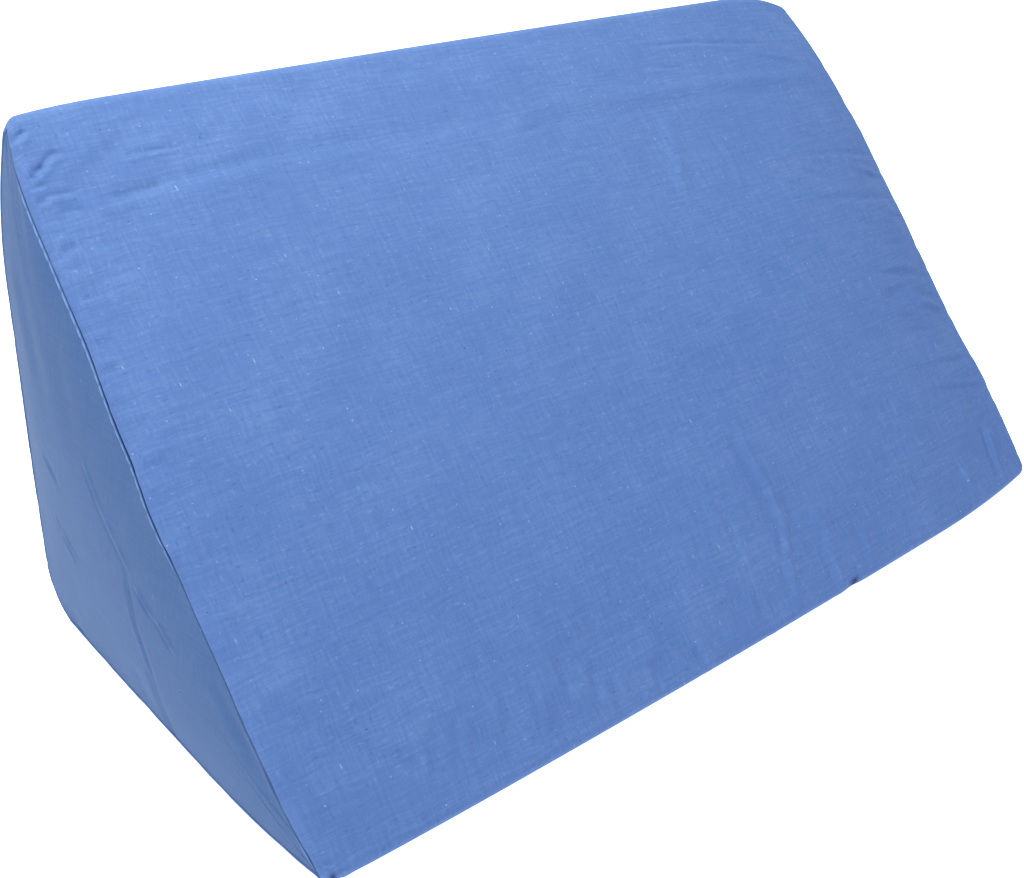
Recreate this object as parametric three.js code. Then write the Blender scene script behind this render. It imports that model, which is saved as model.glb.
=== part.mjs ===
// Positioning wedge: a foam-filled body in a sewn cotton cover, resting on its base.
// The body's skin is the wrap panel, one cloth over slope, ridge, back, heel and base.
// A triangular end panel is sewn into each end and lies in a shallow seat behind the seam.
// Axes: +X along the ridge, +Y from the front corner to the back, +Z up. Lengths are millimetres.

import * as THREE from 'three';

// Block size between its seams, with the corners taken as sharp
const WIDTH = 500;
const DEPTH = 237;
const HEIGHT = 252;
const HALF = WIDTH / 2;

// Crown of each face at its middle
const SLOPE_CROWN = 7.5;
const BACK_CROWN = 3;
const END_CROWN = 6;
const CROWN_POWER = 8;

// Seam at each end: the wrap panel rolls over the edge, and the end panel starts past it
const EDGE_ROLL = 6.5;
const SEAM_ANGLE = THREE.MathUtils.degToRad(64);
const PANEL_THICKNESS = 2;
const CLEARANCE = 0.3;
const PANEL_LIP = 0.5;
const LIP_SHARE = 0.02;

// How far along a face the pull of a corner is felt, and how fast an end leaves its seam's own draw
const CORNER_SPREAD = 85;
const SEAM_HOLD = 8;

// Fineness of the surface, with steps that get shorter towards the edges
const WIDTH_STEPS = 45;
const EVENNESS = 0.5;
const ROLL_STEPS = 3;
const PANEL_RINGS = 9;
const SEAT_RINGS = 4;

// The section's corners in order, front to ridge to heel. The edge bows out by bow at mid-width.
// At each end the cloth sinks it towards the section's middle and draws it in along the width,
// both felt over a length of reach.
const CORNERS = [
  { name: 'front', y: 0, z: 0, radius: 5, steps: 5, bow: [-3.3, 0], reach: 95,
    left: { sink: 0.6, draw: 6 }, right: { sink: 6, draw: 2.5 } },
  { name: 'ridge', y: DEPTH, z: HEIGHT, radius: 7, steps: 6, bow: [0, 1], reach: 55,
    left: { sink: 3, draw: 11 }, right: { sink: 14, draw: 10 } },
  { name: 'heel', y: DEPTH, z: 0, radius: 27, steps: 6, bow: [1, 0], reach: 80,
    left: { sink: 3, draw: 0 }, right: { sink: 3, draw: 0 } },
];

// The faces in the same order, each from one corner to the next
const FACES = [
  { name: 'slope', rows: 32, crown: SLOPE_CROWN },
  { name: 'back', rows: 9, crown: BACK_CROWN },
  { name: 'base', rows: 7, crown: 0 },
];

// Soft creases of the slope: straight troughs, or ridges where depth is below zero.
// x is measured from the middle of the width and down from the ridge, along the slope.
const SLOPE_CREASES = [
  { name: 'corner pucker', x1: -250, down1: 62, x2: -224, down2: 46, reach: 9, depth: 1.5 },
  { name: 'corner puff', x1: -248, down1: 84, x2: -216, down2: 66, reach: 10, depth: -0.8 },
  { name: 'front trough', x1: 8, down1: 258, x2: 5, down2: 326, reach: 15, depth: 1.4 },
  { name: 'front ridge', x1: 45, down1: 262, x2: 33, down2: 326, reach: 13, depth: -1.3 },
  { name: 'front ridge', x1: 90, down1: 284, x2: 76, down2: 326, reach: 12, depth: -1.1 },
  { name: 'tip trough', x1: 176, down1: 286, x2: 180, down2: 326, reach: 12, depth: 1.2 },
  { name: 'tip ridge', x1: 203, down1: 280, x2: 214, down2: 326, reach: 10, depth: -1.2 },
];

// Soft creases of the left end panel, with y measured from the front corner and z from the base
const LEFT_CREASES = [
  { name: 'lower crease', y1: 128, z1: 74, y2: 116, z2: 10, reach: 8, depth: 1 },
  { name: 'lower fold', y1: 144, z1: 70, y2: 136, z2: 10, reach: 9, depth: -1 },
  { name: 'upper crease', y1: 162, z1: 132, y2: 136, z2: 88, reach: 9, depth: 0.8 },
  { name: 'back crease', y1: 204, z1: 80, y2: 172, z2: 58, reach: 9, depth: 0.7 },
  { name: 'seam pucker', y1: 56, z1: 56, y2: 32, z2: 26, reach: 8, depth: 0.8 },
];

// 1 where distance is 0, falling smoothly to 0 at reach
function fade(distance, reach) {
  return distance < reach ? (1 - distance / reach) ** 2 : 0;
}

// Share of a corner's pull that is felt at a point of the section
function cornerPull({ y, z }, point) {
  return fade(point.distanceTo(new THREE.Vector2(y, z)), CORNER_SPREAD);
}

// Position between 0 and 1 of step k of count, with shorter steps towards both ends
function easedStep(k, count) {
  const t = (2 * k) / count - 1;
  return (1 + EVENNESS * t + (1 - EVENNESS) * Math.sin((Math.PI / 2) * t)) / 2;
}

// Offset along the outward normal at (a, b) that a table of creases gives
function creaseOffset(creases, a, b) {
  const spot = new THREE.Vector3(a, b, 0);
  const nearest = new THREE.Vector3();
  return creases.reduce((sum, { from, to, reach, depth }) => {
    new THREE.Line3(from, to).closestPointToPoint(spot, true, nearest);
    return sum - depth * Math.exp(-((spot.distanceTo(nearest) / reach) ** 2));
  }, 0);
}

const slopeCreases = SLOPE_CREASES.map(({ x1, down1, x2, down2, reach, depth }) => ({
  from: new THREE.Vector3(x1, down1, 0), to: new THREE.Vector3(x2, down2, 0), reach, depth,
}));
const leftCreases = LEFT_CREASES.map(({ y1, z1, y2, z2, reach, depth }) => ({
  from: new THREE.Vector3(y1, z1, 0), to: new THREE.Vector3(y2, z2, 0), reach, depth,
}));

// Arc that rounds corner i: its points with their outward normals
function cornerArc(i) {
  const [before, corner, after] = [i + 2, i, i + 1].map((k) => {
    const { y, z } = CORNERS[k % CORNERS.length];
    return new THREE.Vector2(y, z);
  });
  const { radius, steps } = CORNERS[i];
  const toBefore = before.sub(corner).normalize();
  const toAfter = after.sub(corner).normalize();
  const halfAngle = toBefore.angleTo(toAfter) / 2;
  const inward = toBefore.clone().add(toAfter).normalize();
  const centre = corner.clone().addScaledVector(inward, radius / Math.sin(halfAngle));
  const first = Math.atan2(-toBefore.x, toBefore.y);
  const turn = Math.PI - 2 * halfAngle;
  return Array.from({ length: steps + 1 }, (_, k) => {
    const angle = first - (turn * k) / steps;
    const normal = new THREE.Vector2(Math.cos(angle), Math.sin(angle));
    return { point: centre.clone().addScaledVector(normal, radius), normal };
  });
}

const middle = new THREE.Vector2((2 * DEPTH) / 3, HEIGHT / 3);

// One spot of the section: where it lies, which way it faces and how the cloth pulls it
function sectionSpot(point, normal, crown, bow, downSlope) {
  const pulls = CORNERS.map((corner) => cornerPull(corner, point));
  const inward = middle.clone().sub(point).normalize();
  return { point, normal, crown, bow, downSlope, pulls, inward };
}

// Spots around the whole section, corner by corner and face by face
function sectionSpots() {
  const arcs = CORNERS.map((_, i) => cornerArc(i));
  const ridge = new THREE.Vector2(DEPTH, HEIGHT);
  const spots = [];
  CORNERS.forEach((corner, i) => {
    const next = (i + 1) % CORNERS.length;
    const bow = new THREE.Vector2(...corner.bow);
    const nextBow = new THREE.Vector2(...CORNERS[next].bow);
    arcs[i].forEach(({ point, normal }) => spots.push(sectionSpot(point, normal, 0, bow, null)));
    const { point: start, normal } = arcs[i][arcs[i].length - 1];
    const stop = arcs[next][0].point;
    const { name, rows, crown } = FACES[i];
    for (let row = 1; row < rows; row += 1) {
      const t = easedStep(row, rows);
      const point = start.clone().lerp(stop, t);
      const downSlope = name === 'slope' ? point.distanceTo(ridge) : null;
      spots.push(
        sectionSpot(point, normal, crown * Math.sin(Math.PI * t), bow.clone().lerp(nextBow, t), downSlope),
      );
    }
  });
  return spots;
}

const SPOTS = sectionSpots();

// Point of the wrap panel at a spot of the section, x along the width, inset by the edge's roll
function wrapPoint(spot, x, inset) {
  const sideName = x < 0 ? 'left' : 'right';
  const fromEnd = HALF - Math.abs(x);
  const along = Math.min(Math.abs(x) / HALF, 1);
  const offset = spot.crown * (1 - along ** CROWN_POWER) - inset;
  const crease = spot.downSlope === null ? 0 : creaseOffset(slopeCreases, x, spot.downSlope);
  const flat = spot.point.clone().addScaledVector(spot.normal, offset + crease);
  flat.addScaledVector(spot.bow, 1 - along ** 2);
  let drawn = 0;
  CORNERS.forEach((corner, i) => {
    const pull = spot.pulls[i] * fade(fromEnd, corner.reach);
    flat.addScaledVector(spot.inward, corner[sideName].sink * pull);
    drawn += corner[sideName].draw * pull;
  });
  return new THREE.Vector3(x - Math.sign(x) * drawn, flat.x, Math.max(flat.y, 0));
}

const endTriangle = new THREE.Triangle(...CORNERS.map(({ y, z }) => new THREE.Vector3(y, z, 0)));

// Crown of an end at (y, z): the product of its shares of the three corners, full at the middle,
// where each share is a third
function endCrown(y, z) {
  const shares = endTriangle.getBarycoord(new THREE.Vector3(y, z, 0), new THREE.Vector3());
  return END_CROWN * Math.max(shares.x * shares.y * shares.z, 0) * 3 ** 3;
}

// How far the corners draw an end in at (y, z)
function endDraw(side, y, z) {
  const sideName = side < 0 ? 'left' : 'right';
  const spot = new THREE.Vector2(y, z);
  return CORNERS.reduce((sum, corner) => (
    sum + corner[sideName].draw * cornerPull(corner, spot)
  ), 0);
}

// Point of an end, from its seam (k = 0) to its middle (k = 1), raised by lift and its crown.
// Its draw starts as the wrap panel's own at the seam and soon follows the end's.
function endPoint(spot, side, inset, lift, k) {
  const keep = 1 - k;
  const rim = wrapPoint(spot, side * HALF, inset);
  const rimExcess = HALF - Math.abs(rim.x) - endDraw(side, rim.y, rim.z);
  const y = middle.x + (rim.y - middle.x) * keep;
  const z = middle.y + (rim.z - middle.y) * keep;
  const drawn = endDraw(side, y, z) + rimExcess * keep ** SEAM_HOLD;
  return new THREE.Vector3(side * (HALF + lift + endCrown(y, z) - drawn), y, z);
}

// Two triangles between points a and c of one ring and b and d of the next, cut on the shorter way
function quad(points, a, b, c, d) {
  const cutAD = points[a].distanceTo(points[d]) <= points[c].distanceTo(points[b]);
  return cutAD ? [a, d, c, a, b, d] : [a, b, c, c, b, d];
}

// Closed surface through a row of rings from left to right, with a single point at each end
function loft(firstPoint, rings, lastPoint) {
  const count = rings[0].length;
  const points = [firstPoint, ...rings.flat(), lastPoint];
  const last = points.length - 1;
  const triangles = [];
  for (let k = 0; k < count; k += 1) {
    const next = (k + 1) % count;
    triangles.push(0, 1 + k, 1 + next);
    for (let ring = 0; ring < rings.length - 1; ring += 1) {
      const a = 1 + ring * count;
      const b = a + count;
      triangles.push(...quad(points, a + k, b + k, a + next, b + next));
    }
    const rim = 1 + (rings.length - 1) * count;
    triangles.push(last, rim + next, rim + k);
  }
  const geometry = new THREE.BufferGeometry().setFromPoints(points);
  geometry.setIndex(triangles);
  geometry.computeVertexNormals();
  return geometry;
}

const SEAM_INSET = EDGE_ROLL * (1 - Math.cos(SEAM_ANGLE));
const SEAM_LIFT = -EDGE_ROLL * (1 - Math.sin(SEAM_ANGLE));
const SEAT_LIFT = SEAM_LIFT - PANEL_THICKNESS - CLEARANCE;
const PANEL_INSET = SEAM_INSET + 2 * CLEARANCE;

// Rings of the wrap panel where it rolls over the edge of one end, seam first
function rollRings(side) {
  return Array.from({ length: ROLL_STEPS + 1 }, (_, k) => {
    const angle = SEAM_ANGLE * (1 - k / ROLL_STEPS);
    const x = side * (HALF - EDGE_ROLL * (1 - Math.sin(angle)));
    return SPOTS.map((spot) => wrapPoint(spot, x, EDGE_ROLL * (1 - Math.cos(angle))));
  });
}

// Rings of an end face from firstShare of the way in, and its middle point
function endRings(side, inset, lift, count, firstShare = 0) {
  const rings = Array.from({ length: count }, (_, ring) => {
    const share = firstShare + ((1 - firstShare) * ring) / count;
    return SPOTS.map((spot) => endPoint(spot, side, inset, lift, share));
  });
  return { rings, centre: endPoint(SPOTS[0], side, inset, lift, 1) };
}

// Seat of one end panel in the body: a step down at the seam, then the panel's own inner form
function seatRings(side) {
  const floor = endRings(side, PANEL_INSET, SEAT_LIFT, SEAT_RINGS);
  const step = SPOTS.map((spot) => endPoint(spot, side, SEAM_INSET, SEAT_LIFT, 0));
  return { rings: [step, ...floor.rings], centre: floor.centre };
}

// Filled body: seat of the left panel, roll, wrap panel, roll and seat of the right panel
function bodyGeometry() {
  const left = seatRings(-1);
  const right = seatRings(1);
  const span = HALF - EDGE_ROLL;
  const wrap = Array.from({ length: WIDTH_STEPS - 1 }, (_, k) => {
    const x = span * (2 * easedStep(k + 1, WIDTH_STEPS) - 1);
    return SPOTS.map((spot) => wrapPoint(spot, x, 0));
  });
  const rings = [
    ...left.rings.reverse(), ...rollRings(-1), ...wrap, ...rollRings(1).reverse(), ...right.rings,
  ];
  return loft(left.centre, rings, right.centre);
}

// End panel: a sheet that fills its seat, with a raised lip along the seam
function panelGeometry(side, creases) {
  const inner = endRings(side, PANEL_INSET, SEAT_LIFT + CLEARANCE, SEAT_RINGS);
  const outer = endRings(side, PANEL_INSET, SEAM_LIFT + PANEL_LIP, PANEL_RINGS, LIP_SHARE);
  const edge = SPOTS.map((spot) => endPoint(spot, side, PANEL_INSET, SEAM_LIFT, 0));
  [...outer.rings.flat(), outer.centre].forEach((point) => {
    point.x += side * creaseOffset(creases, point.y, point.z);
  });
  const rings = [...inner.rings.reverse(), edge, ...outer.rings];
  return side > 0
    ? loft(inner.centre, rings, outer.centre)
    : loft(outer.centre, rings.reverse(), inner.centre);
}

const wrapCloth = new THREE.MeshStandardMaterial({ color: 0x6488cb, roughness: 0.92, metalness: 0 });
const endCloth = new THREE.MeshStandardMaterial({ color: 0x6187bd, roughness: 0.9, metalness: 0 });

const PIECES = [
  { name: 'cushion_body', geometry: bodyGeometry(), material: wrapCloth },
  { name: 'end_panel_left', geometry: panelGeometry(-1, leftCreases), material: endCloth },
  { name: 'end_panel_right', geometry: panelGeometry(1, []), material: endCloth },
];

const cushion = new THREE.Group();
PIECES.forEach(({ name, geometry, material }) => {
  const mesh = new THREE.Mesh(geometry, material);
  mesh.name = name;
  cushion.add(mesh);
});

// The origin is the middle of the underside of the whole cushion
const box = new THREE.Box3().setFromObject(cushion);
const centre = box.getCenter(new THREE.Vector3());
cushion.children.forEach((mesh) => mesh.position.set(-centre.x, -centre.y, -box.min.z));

export default cushion;
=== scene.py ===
import logging
import math
from dataclasses import dataclass, field
from enum import Enum

import bpy
import numpy as np
from mathutils import Euler, Matrix, Vector


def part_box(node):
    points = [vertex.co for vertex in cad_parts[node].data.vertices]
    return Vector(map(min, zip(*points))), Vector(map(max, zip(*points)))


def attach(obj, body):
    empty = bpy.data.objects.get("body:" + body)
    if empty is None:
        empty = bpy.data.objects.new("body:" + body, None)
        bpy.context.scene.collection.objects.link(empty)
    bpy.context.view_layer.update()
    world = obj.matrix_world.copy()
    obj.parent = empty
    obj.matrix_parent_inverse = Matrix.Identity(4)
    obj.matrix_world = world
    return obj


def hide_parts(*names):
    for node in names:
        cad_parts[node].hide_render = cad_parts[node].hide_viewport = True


# Positioning wedge: a firm foam wedge in a sewn, piece-dyed cotton cover, resting on its base.
# One cloth wraps the slope, ridge, back, heel and base. A triangular panel is sewn into each end.
# Lengths are millimetres and become metres as a mesh is made. x runs along the ridge, y from the
# front edge to the back and z up. "down" is the distance from the sharp ridge along the slope.

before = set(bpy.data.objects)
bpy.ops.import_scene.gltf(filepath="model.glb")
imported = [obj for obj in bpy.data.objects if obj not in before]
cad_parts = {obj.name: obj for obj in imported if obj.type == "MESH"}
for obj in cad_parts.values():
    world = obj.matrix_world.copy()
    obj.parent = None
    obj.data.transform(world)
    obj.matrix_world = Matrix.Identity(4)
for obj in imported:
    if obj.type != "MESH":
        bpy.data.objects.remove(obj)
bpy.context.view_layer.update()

MM = 0.001
RNG_SEED = 7
IMAGE_WIDTH, IMAGE_HEIGHT = 1024, 878
log = logging.getLogger("wedge")


class Side(Enum):
    """An end of the wedge, with the sign of x there."""

    LEFT = -1
    RIGHT = 1


def linear(hex_code: str) -> tuple[float, float, float, float]:
    """Turn an sRGB hex colour into linear light.

    Args:
        hex_code: six hex digits.

    Returns:
        Red, green and blue in linear light, and an alpha of 1. A channel up to 0.04045 is divided
        by 12.92, and above that it is ((c + 0.055) / 1.055) to the power 2.4.
    """
    channels = [int(hex_code[i : i + 2], 16) / 255 for i in (0, 2, 4)]
    light = [c / 12.92 if c <= 0.04045 else ((c + 0.055) / 1.055) ** 2.4 for c in channels]
    return (*light, 1.0)


def fade(distance: np.ndarray, reach: float) -> np.ndarray:
    """Fall from 1 at no distance to 0 at reach, as the square of the share that is left."""
    return np.clip(1 - distance / reach, 0, None) ** 2


def bell(distance: np.ndarray, reach: float | np.ndarray) -> np.ndarray:
    """Fall from 1 at no distance as exp(-(distance / reach) squared)."""
    return np.exp(-((distance / reach) ** 2))


def smooth_step(value: np.ndarray, low: float, high: float) -> np.ndarray:
    """Rise from 0 at low to 1 at high as 3 t squared minus 2 t cubed."""
    t = np.clip((value - low) / (high - low), 0, 1)
    return t * t * (3 - 2 * t)


def eased(count: int, evenness: float) -> np.ndarray:
    """Place count + 1 steps between 0 and 1 that get shorter towards both ends.

    Args:
        count: how many steps.
        evenness: 1 for even steps, less for shorter steps at the ends.

    Returns:
        The places: a mix of a straight line and half a sine wave.
    """
    t = 2 * np.arange(count + 1) / count - 1
    return (1 + evenness * t + (1 - evenness) * np.sin(np.pi / 2 * t)) / 2


# FORM


@dataclass(frozen=True)
class Pull:
    """How far an end's seam sinks a corner inward, and draws it in along the width."""

    sink: float
    draw: float


@dataclass(frozen=True)
class Corner:
    """A sharp corner of the section, the radius that rounds it, and its bow at mid-width."""

    name: str
    y: float
    z: float
    radius: float
    bow: tuple[float, float]
    reach: float
    left: Pull
    right: Pull

    def pull(self, side: Side) -> Pull:
        """Return the pull of one end."""
        return self.left if side is Side.LEFT else self.right


@dataclass(frozen=True)
class SlopeStretch:
    """A stretch of the slope's edge from start to stop down from the ridge, eased at both ends."""

    start: float
    stop: float
    ease: float
    amount: float


# How far the seam stands open with its lip showing, from 0 to 1
SEAM_OPENINGS = {
    Side.LEFT: (SlopeStretch(34, 212, 12, 1.0), SlopeStretch(316, 336, 8, 0.7)),
    Side.RIGHT: (SlopeStretch(90, 190, 20, 0.7), SlopeStretch(250, 290, 16, 0.5)),
}
# How far the seam wanders inward from its straight line, or outward where it is below 0
SEAM_DRIFTS = {
    Side.LEFT: (
        SlopeStretch(36, 152, 44, 2.1),
        SlopeStretch(160, 216, 26, -1.5),
        SlopeStretch(226, 316, 30, 0.6),
    ),
    Side.RIGHT: (SlopeStretch(60, 150, 40, -1.4), SlopeStretch(190, 280, 40, 0.9)),
}


@dataclass(frozen=True)
class Fineness:
    """Rows on each face and steps round each corner, front to ridge to heel."""

    slope: int
    back: int
    base: int
    arcs: tuple[int, int, int]
    evenness: float = 0.4


@dataclass
class Section:
    """The spots round the block's section as whole arrays, front corner first."""

    point: np.ndarray
    normal: np.ndarray
    crown: np.ndarray
    bow: np.ndarray
    pulls: np.ndarray
    inward: np.ndarray
    down: np.ndarray
    on_slope: np.ndarray
    along: np.ndarray
    round_length: float

    def on_stretches(self, stretches: tuple[SlopeStretch, ...]) -> np.ndarray:
        """Sum a table of stretches of the slope's edge at each spot, and 0 off the slope."""
        total = np.zeros(len(self.point))
        for stretch in stretches:
            total += stretch.amount * smooth_step(self.down, stretch.start, stretch.start + stretch.ease) * (
                smooth_step(-self.down, -stretch.stop, stretch.ease - stretch.stop))
        return np.where(self.on_slope, total, 0.0)


@dataclass(frozen=True)
class WedgeForm:
    """Outer form of the filled cover, by its seams."""

    width: float = 500
    depth: float = 237
    height: float = 252
    slope_crown: float = 7.5
    back_crown: float = 3
    end_crown: float = 6
    crown_power: float = 8
    corner_spread: float = 85
    seam_hold: float = 8
    edge_roll: float = 6.5
    crisp_roll: float = 3.4
    seam_angle: float = math.radians(64)
    drift_reach: float = 60
    corners: tuple[Corner, Corner, Corner] = field(init=False)

    def __post_init__(self) -> None:
        """Set the corners, whose places follow from the depth and height."""
        corners = (
            Corner("front", 0, 0, 5, (-3.3, 0), 95, Pull(0.6, 6), Pull(6, 2.5)),
            Corner("ridge", self.depth, self.height, 7, (0, 1), 55, Pull(3, 11), Pull(14, 10)),
            Corner("heel", self.depth, 0, 27, (1, 0), 80, Pull(3, 0), Pull(3, 0)),
        )
        object.__setattr__(self, "corners", corners)

    @property
    def half(self) -> float:
        """Half of the width from seam to seam."""
        return self.width / 2

    @property
    def middle(self) -> np.ndarray:
        """Middle of the section, where its three shares are equal."""
        return np.array([2 * self.depth / 3, self.height / 3])

    def corner_arc(self, index: int, steps: int) -> tuple[np.ndarray, np.ndarray]:
        """Round one corner with an arc that touches both of its faces.

        Args:
            index: which corner.
            steps: how many steps the arc has.

        Returns:
            The arc's points and outward normals. The centre lies on the bisector, the radius over
            the sine of the half angle away from the corner.
        """
        near = (self.corners[index - 1], self.corners[index], self.corners[(index + 1) % 3])
        before, here, after = (np.array([corner.y, corner.z]) for corner in near)
        radius = near[1].radius
        to_before = (before - here) / np.linalg.norm(before - here)
        to_after = (after - here) / np.linalg.norm(after - here)
        half_angle = math.acos(float(to_before @ to_after)) / 2
        bisector = (to_before + to_after) / np.linalg.norm(to_before + to_after)
        centre = here + bisector * radius / math.sin(half_angle)
        first = math.atan2(-to_before[0], to_before[1])
        angles = first - (math.pi - 2 * half_angle) * np.arange(steps + 1) / steps
        normals = np.stack([np.cos(angles), np.sin(angles)], 1)
        return centre + radius * normals, normals

    def section(self, fineness: Fineness) -> Section:
        """Lay spots round the section, corner by corner and face by face.

        Args:
            fineness: how many spots each face and corner gets.

        Returns:
            The spots. A face runs straight from one arc to the next, and its crown is half a sine
            wave over its length.
        """
        points, normals, crowns, bows, slopes = [], [], [], [], []
        arcs = [self.corner_arc(i, steps) for i, steps in enumerate(fineness.arcs)]
        faces = ((fineness.slope, self.slope_crown), (fineness.back, self.back_crown), (fineness.base, 0))
        for i, (rows, crown) in enumerate(faces):
            after = (i + 1) % 3
            bow, next_bow = np.array(self.corners[i].bow), np.array(self.corners[after].bow)
            t = eased(rows, fineness.evenness)[1:-1, None]
            start, stop = arcs[i][0][-1], arcs[after][0][0]
            points += [arcs[i][0], start + (stop - start) * t]
            normals += [arcs[i][1], np.repeat(arcs[i][1][-1:], rows - 1, 0)]
            crowns += [np.zeros(len(arcs[i][0])), crown * np.sin(np.pi * t[:, 0])]
            bows += [np.repeat(bow[None], len(arcs[i][0]), 0), bow + (next_bow - bow) * t]
            slopes += [np.full(len(arcs[i][0]), i == 0), np.full(rows - 1, i == 0)]
        point, normal = np.concatenate(points), np.concatenate(normals)
        places = np.array([[c.y, c.z] for c in self.corners])
        gaps = np.linalg.norm(point[:, None] - places[None], axis=2)
        inward = self.middle - point
        steps = np.linalg.norm(np.diff(point, axis=0, append=point[:1]), axis=1)
        return Section(
            point=point,
            normal=normal,
            crown=np.concatenate(crowns),
            bow=np.concatenate(bows),
            pulls=fade(gaps, self.corner_spread),
            inward=inward / np.linalg.norm(inward, axis=1, keepdims=True),
            down=gaps[:, 1],
            on_slope=np.concatenate(slopes),
            along=np.concatenate([[0], np.cumsum(steps)[:-1]]),
            round_length=float(steps.sum()),
        )

    def roll(self, side: Side, spots: Section) -> np.ndarray:
        """Radius at which the wrap cloth turns over an end's edge: tighter where its seam is crisp."""
        return self.edge_roll + (self.crisp_roll - self.edge_roll) * spots.on_stretches(SEAM_OPENINGS[side])

    def seam_groove_painted_shade(self, side: Side, spots: Section) -> np.ndarray:
        """How much painted shade the seam's groove gets: 1 where it stands open, a third elsewhere."""
        return 0.35 + 0.65 * np.minimum(spots.on_stretches(SEAM_OPENINGS[side]), 1)

    def wrap(self, spots: Section, x: np.ndarray, inset: np.ndarray, relief: np.ndarray) -> np.ndarray:
        """Work out the wrap cloth's surface on a grid of rings by spots.

        Args:
            spots: the section's spots.
            x: place along the width of each grid point.
            inset: how far each grid point lies inside the section.
            relief: offset along the normal of each grid point, for creases.

        Returns:
            Points of shape rings, spots, 3. Each is the section's point, moved along its normal by
            the crown, less the inset, plus the relief, then by the bow and by the corners' pulls.
            The seam's drift moves it along x, and fades with the distance from the end.
        """
        along = np.minimum(np.abs(x) / self.half, 1)
        offset = spots.crown * (1 - along**self.crown_power) - inset + relief
        yz = spots.point + spots.normal * offset[..., None] + spots.bow * (1 - along**2)[..., None]
        drawn = np.zeros(offset.shape)
        from_end = self.half - np.abs(x)
        for side in Side:
            here = np.sign(x) == side.value
            for i, corner in enumerate(self.corners):
                pull = corner.pull(side)
                felt = spots.pulls[:, i] * fade(from_end, corner.reach) * here
                yz += spots.inward * (pull.sink * felt)[..., None]
                drawn += pull.draw * felt
            drawn += spots.on_stretches(SEAM_DRIFTS[side]) * fade(from_end, self.drift_reach) * here
        out = np.empty((*offset.shape, 3))
        out[..., 0] = x - np.sign(x) * drawn
        out[..., 1:] = yz
        out[..., 2] = np.maximum(out[..., 2], 0)
        return out

    def end_crown_at(self, y: np.ndarray, z: np.ndarray) -> np.ndarray:
        """Crown of an end: 27 times the product of its shares of the three corners, 1 at the middle."""
        ridge = z / self.height
        heel = y / self.depth - ridge
        return self.end_crown * np.clip((1 - ridge - heel) * ridge * heel, 0, None) * 27

    def end_draw_at(self, side: Side, y: np.ndarray, z: np.ndarray) -> np.ndarray:
        """How far the corners draw an end in at (y, z)."""
        drawn = np.zeros(y.shape)
        for corner in self.corners:
            gap = np.hypot(y - corner.y, z - corner.z)
            drawn += corner.pull(side).draw * fade(gap, self.corner_spread)
        return drawn

    def end(self, side: Side, rim: np.ndarray, lift: float | np.ndarray, share: np.ndarray) -> np.ndarray:
        """Work out an end's surface on a grid of share by spots.

        Args:
            side: which end.
            rim: the seam's points, one for each spot.
            lift: how far the surface lies past the seam's nominal place.
            share: how far each ring is from the seam (0) to the middle (1).

        Returns:
            Points of shape rings, spots, 3. The rings are scaled towards the middle. Their x is the
            half width, plus lift and crown, less the corners' draw, and a rest of the seam's own
            draw that dies away with the eighth power of what is left.
        """
        keep = (1 - share)[:, None]
        rim_excess = self.half - np.abs(rim[:, 0]) - self.end_draw_at(side, rim[:, 1], rim[:, 2])
        y = self.middle[0] + (rim[:, 1] - self.middle[0]) * keep
        z = self.middle[1] + (rim[:, 2] - self.middle[1]) * keep
        drawn = self.end_draw_at(side, y, z) + rim_excess * keep**self.seam_hold
        x = side.value * (self.half + lift + self.end_crown_at(y, z) - drawn)
        return np.stack([x, y, z], -1)


# CREASES


@dataclass(frozen=True)
class Crease:
    """A soft trough along a short line in a face's own two measures, or a ridge where depth is below 0.

    A trough has a low shoulder on one side, as pushed-up cloth does, and dies away at both ends.
    """

    a1: float
    b1: float
    a2: float
    b2: float
    reach: float
    depth: float
    shoulder: float = 0.0
    bend: float = 0.0

    def relief(self, a: np.ndarray, b: np.ndarray) -> np.ndarray:
        """Offset along the normal at (a, b).

        Args:
            a: first measure of each point.
            b: second measure of each point.

        Returns:
            Minus depth times a bell across the line, plus the shoulder's share of it beside the
            line, times a taper along it. The line is bowed sideways by bend.
        """
        run = np.array([self.a2 - self.a1, self.b2 - self.b1])
        length = float(np.hypot(*run))
        run = run / length
        t = ((a - self.a1) * run[0] + (b - self.b1) * run[1]) / length
        across = (b - self.b1) * run[0] - (a - self.a1) * run[1] - self.bend * 4 * t * (1 - t)
        taper = smooth_step(t, -0.12, 0.3) * smooth_step(-t, -1.12, -0.7)
        trough = bell(across, self.reach)
        beside = bell(across - 1.7 * self.reach, self.reach)
        return -self.depth * (trough - self.shoulder * beside) * taper


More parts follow.
